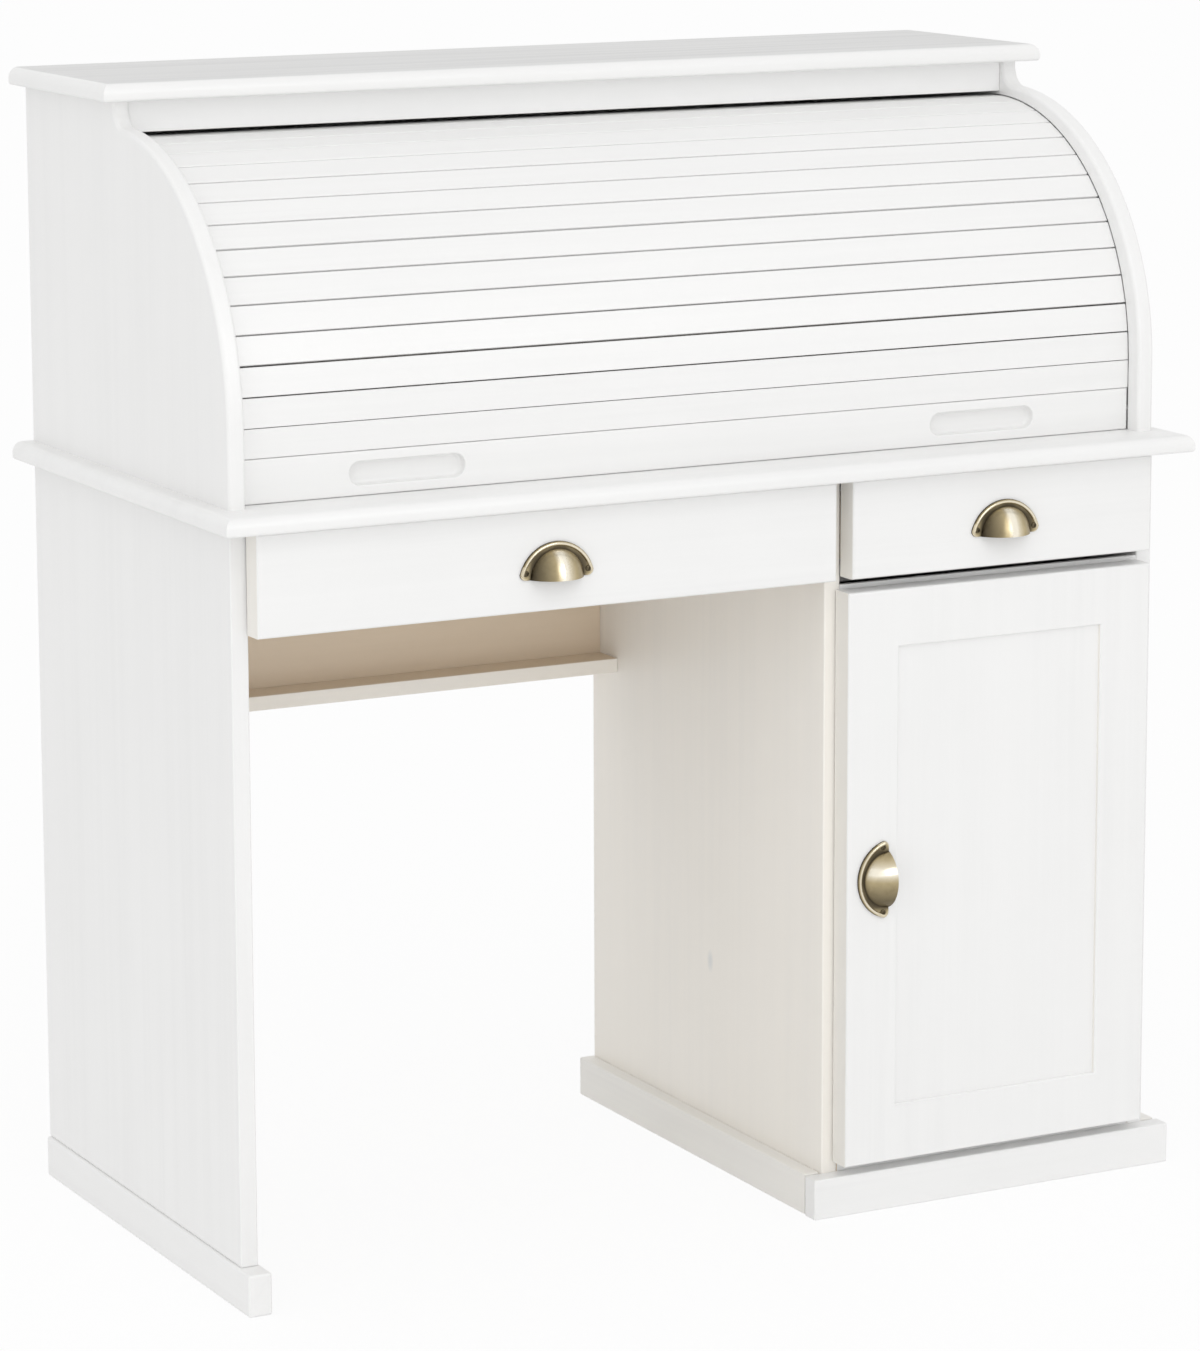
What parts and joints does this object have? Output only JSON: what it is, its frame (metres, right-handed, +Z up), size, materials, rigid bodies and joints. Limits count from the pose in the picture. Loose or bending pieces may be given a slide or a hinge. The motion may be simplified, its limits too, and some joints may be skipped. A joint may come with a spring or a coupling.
{
  "type": "roll top secretary desk",
  "caption": "White lacquered pine desk with a slatted roll top over the worktop, drawers under it, a kneehole and a pedestal cupboard with a framed door, all with brass cup handles.",
  "frame": {"origin": "on the floor, under the middle of the overall box", "axes": "+Z up, -Y towards the sitter, +X to the sitter's right, where the pedestal is"},
  "size_m": [1.022, 0.5206, 1.098],
  "materials": {
    "lacquered_pine": "white satin lacquer over pine",
    "plain_pine": "thin white wash over pine",
    "white_hardboard": "white painted board",
    "canvas": "unbleached cotton canvas glued behind the slats",
    "antique_brass": "brushed antique brass",
    "hinge_steel": "zinc plated"
  },
  "bodies": {
    "carcass": {"left_side_panel": "lacquered_pine", "left_foot": "lacquered_pine", "pedestal_left_panel": "lacquered_pine", "pedestal_right_panel": "lacquered_pine", "pedestal_floor": "lacquered_pine", "pedestal_back": "white_hardboard", "pedestal_drawer_rail": "lacquered_pine", "pedestal_shelf": "lacquered_pine", "shelf_cleats": "plain_pine", "plinth_front": "lacquered_pine", "plinth_sides": "lacquered_pine", "back_stretcher": "lacquered_pine", "back_ledge": "lacquered_pine", "worktop": "lacquered_pine", "top_board": "lacquered_pine", "hutch_left_side": "lacquered_pine", "hutch_right_side": "lacquered_pine", "hutch_back": "white_hardboard", "fascia": "lacquered_pine", "pigeonhole_back": "white_hardboard", "pigeonhole_shelf": "lacquered_pine", "pigeonhole_dividers": "lacquered_pine", "centre_drawer_runners": "plain_pine", "pedestal_drawer_runners": "plain_pine", "door_hinge_plates": "hinge_steel"},
    "centre_drawer": {"centre_drawer_front": "lacquered_pine", "centre_drawer_sides": "plain_pine", "centre_drawer_back": "plain_pine", "centre_drawer_bottom": "white_hardboard", "centre_drawer_handle": "antique_brass", "centre_drawer_handle_screws": "antique_brass"},
    "pedestal_drawer": {"pedestal_drawer_front": "lacquered_pine", "pedestal_drawer_sides": "plain_pine", "pedestal_drawer_back": "plain_pine", "pedestal_drawer_bottom": "white_hardboard", "pedestal_drawer_handle": "antique_brass", "pedestal_drawer_handle_screws": "antique_brass"},
    "door": {"door_stiles": "lacquered_pine", "door_rails": "lacquered_pine", "door_panel": "lacquered_pine", "door_handle": "antique_brass", "door_handle_screws": "antique_brass", "door_hinge_pins": "hinge_steel"},
    "lift_rail": {"lift_rail": "lacquered_pine"},
    "tambour_slat_01": {"tambour_slat_01": "lacquered_pine"},
    "tambour_slat_02": {"tambour_slat_02": "lacquered_pine"},
    "tambour_slat_03": {"tambour_slat_03": "lacquered_pine"},
    "tambour_slat_04": {"tambour_slat_04": "lacquered_pine"},
    "tambour_slat_05": {"tambour_slat_05": "lacquered_pine"},
    "tambour_slat_06": {"tambour_slat_06": "lacquered_pine"},
    "tambour_slat_07": {"tambour_slat_07": "lacquered_pine"},
    "tambour_slat_08": {"tambour_slat_08": "lacquered_pine"},
    "tambour_slat_09": {"tambour_slat_09": "lacquered_pine"},
    "tambour_slat_10": {"tambour_slat_10": "lacquered_pine"},
    "tambour_slat_11": {"tambour_slat_11": "lacquered_pine"},
    "tambour_slat_12": {"tambour_slat_12": "lacquered_pine"},
    "tambour_slat_13": {"tambour_slat_13": "lacquered_pine"},
    "tambour_slat_14": {"tambour_slat_14": "lacquered_pine"},
    "tambour_slat_15": {"tambour_slat_15": "lacquered_pine"}
  },
  "joints": [
    {"name": "centre_drawer_slide", "type": "slide", "parent": "carcass", "child": "centre_drawer", "axis": [0, -1, 0], "range_m": [0, 0.3]},
    {"name": "pedestal_drawer_slide", "type": "slide", "parent": "carcass", "child": "pedestal_drawer", "axis": [0, -1, 0], "range_m": [0, 0.3]},
    {"name": "door_swing", "type": "hinge", "parent": "carcass", "child": "door", "pos_m": [0.4654, -0.22175, 0.331], "axis": [0, 0, 1], "range_deg": [0, 95]},
    {"name": "lift_rail_roll", "type": "hinge", "parent": "carcass", "child": "lift_rail", "pos_m": [0, 0.06183, 0.79264], "axis": [-1, 0, 0], "range_deg": [0, 80.34]},
    {"name": "tambour_slat_01_roll", "type": "hinge", "parent": "carcass", "child": "tambour_slat_01", "pos_m": [0, 0.04839, 0.80335], "axis": [-1, 0, 0], "range_deg": [0, 86.29]},
    {"name": "tambour_slat_02_roll", "type": "hinge", "parent": "carcass", "child": "tambour_slat_02", "pos_m": [0, 0.04623, 0.80551], "axis": [-1, 0, 0], "range_deg": [0, 87.31]},
    {"name": "tambour_slat_03_roll", "type": "hinge", "parent": "carcass", "child": "tambour_slat_03", "pos_m": [0, 0.04601, 0.80568], "axis": [-1, 0, 0], "range_deg": [0, 87.41]},
    {"name": "tambour_slat_04_roll", "type": "hinge", "parent": "carcass", "child": "tambour_slat_04", "pos_m": [0, 0.04529, 0.80635], "axis": [-1, 0, 0], "range_deg": [0, 87.76]},
    {"name": "tambour_slat_05_roll", "type": "hinge", "parent": "carcass", "child": "tambour_slat_05", "pos_m": [0, 0.04402, 0.80792], "axis": [-1, 0, 0], "range_deg": [0, 88.48]},
    {"name": "tambour_slat_06_roll", "type": "hinge", "parent": "carcass", "child": "tambour_slat_06", "pos_m": [0, 0.0424, 0.81063], "axis": [-1, 0, 0], "range_deg": [0, 89.62]},
    {"name": "tambour_slat_07_roll", "type": "hinge", "parent": "carcass", "child": "tambour_slat_07", "pos_m": [0, 0.0408, 0.81448], "axis": [-1, 0, 0], "range_deg": [0, 91.17]},
    {"name": "tambour_slat_08_roll", "type": "hinge", "parent": "carcass", "child": "tambour_slat_08", "pos_m": [0, 0.03961, 0.81925], "axis": [-1, 0, 0], "range_deg": [0, 93.07]},
    {"name": "tambour_slat_09_roll", "type": "hinge", "parent": "carcass", "child": "tambour_slat_09", "pos_m": [0, 0.03913, 0.82453], "axis": [-1, 0, 0], "range_deg": [0, 95.2]},
    {"name": "tambour_slat_10_roll", "type": "hinge", "parent": "carcass", "child": "tambour_slat_10", "pos_m": [0, 0.03948, 0.8298], "axis": [-1, 0, 0], "range_deg": [0, 97.41]},
    {"name": "tambour_slat_11_roll", "type": "hinge", "parent": "carcass", "child": "tambour_slat_11", "pos_m": [0, 0.0406, 0.83459], "axis": [-1, 0, 0], "range_deg": [0, 99.54]},
    {"name": "tambour_slat_12_roll", "type": "hinge", "parent": "carcass", "child": "tambour_slat_12", "pos_m": [0, 0.04223, 0.83848], "axis": [-1, 0, 0], "range_deg": [0, 101.42]},
    {"name": "tambour_slat_13_roll", "type": "hinge", "parent": "carcass", "child": "tambour_slat_13", "pos_m": [0, 0.04399, 0.84124], "axis": [-1, 0, 0], "range_deg": [0, 102.92]},
    {"name": "tambour_slat_14_roll", "type": "hinge", "parent": "carcass", "child": "tambour_slat_14", "pos_m": [0, 0.04542, 0.84283], "axis": [-1, 0, 0], "range_deg": [0, 103.91]},
    {"name": "tambour_slat_15_roll", "type": "hinge", "parent": "carcass", "child": "tambour_slat_15", "pos_m": [0, 0.04614, 0.84343], "axis": [-1, 0, 0], "range_deg": [0, 104.34]}
  ],
  "couplings": [
    {"joint": "tambour_slat_01_roll", "follows": "lift_rail_roll", "ratio": 1.0678},
    {"joint": "tambour_slat_02_roll", "follows": "lift_rail_roll", "ratio": 1.0806},
    {"joint": "tambour_slat_03_roll", "follows": "lift_rail_roll", "ratio": 1.0818},
    {"joint": "tambour_slat_04_roll", "follows": "lift_rail_roll", "ratio": 1.0861},
    {"joint": "tambour_slat_05_roll", "follows": "lift_rail_roll", "ratio": 1.095},
    {"joint": "tambour_slat_06_roll", "follows": "lift_rail_roll", "ratio": 1.1093},
    {"joint": "tambour_slat_07_roll", "follows": "lift_rail_roll", "ratio": 1.1286},
    {"joint": "tambour_slat_08_roll", "follows": "lift_rail_roll", "ratio": 1.1522},
    {"joint": "tambour_slat_09_roll", "follows": "lift_rail_roll", "ratio": 1.1787},
    {"joint": "tambour_slat_10_roll", "follows": "lift_rail_roll", "ratio": 1.2062},
    {"joint": "tambour_slat_11_roll", "follows": "lift_rail_roll", "ratio": 1.2327},
    {"joint": "tambour_slat_12_roll", "follows": "lift_rail_roll", "ratio": 1.2562},
    {"joint": "tambour_slat_13_roll", "follows": "lift_rail_roll", "ratio": 1.2748},
    {"joint": "tambour_slat_14_roll", "follows": "lift_rail_roll", "ratio": 1.2871},
    {"joint": "tambour_slat_15_roll", "follows": "lift_rail_roll", "ratio": 1.2925}
  ]
}
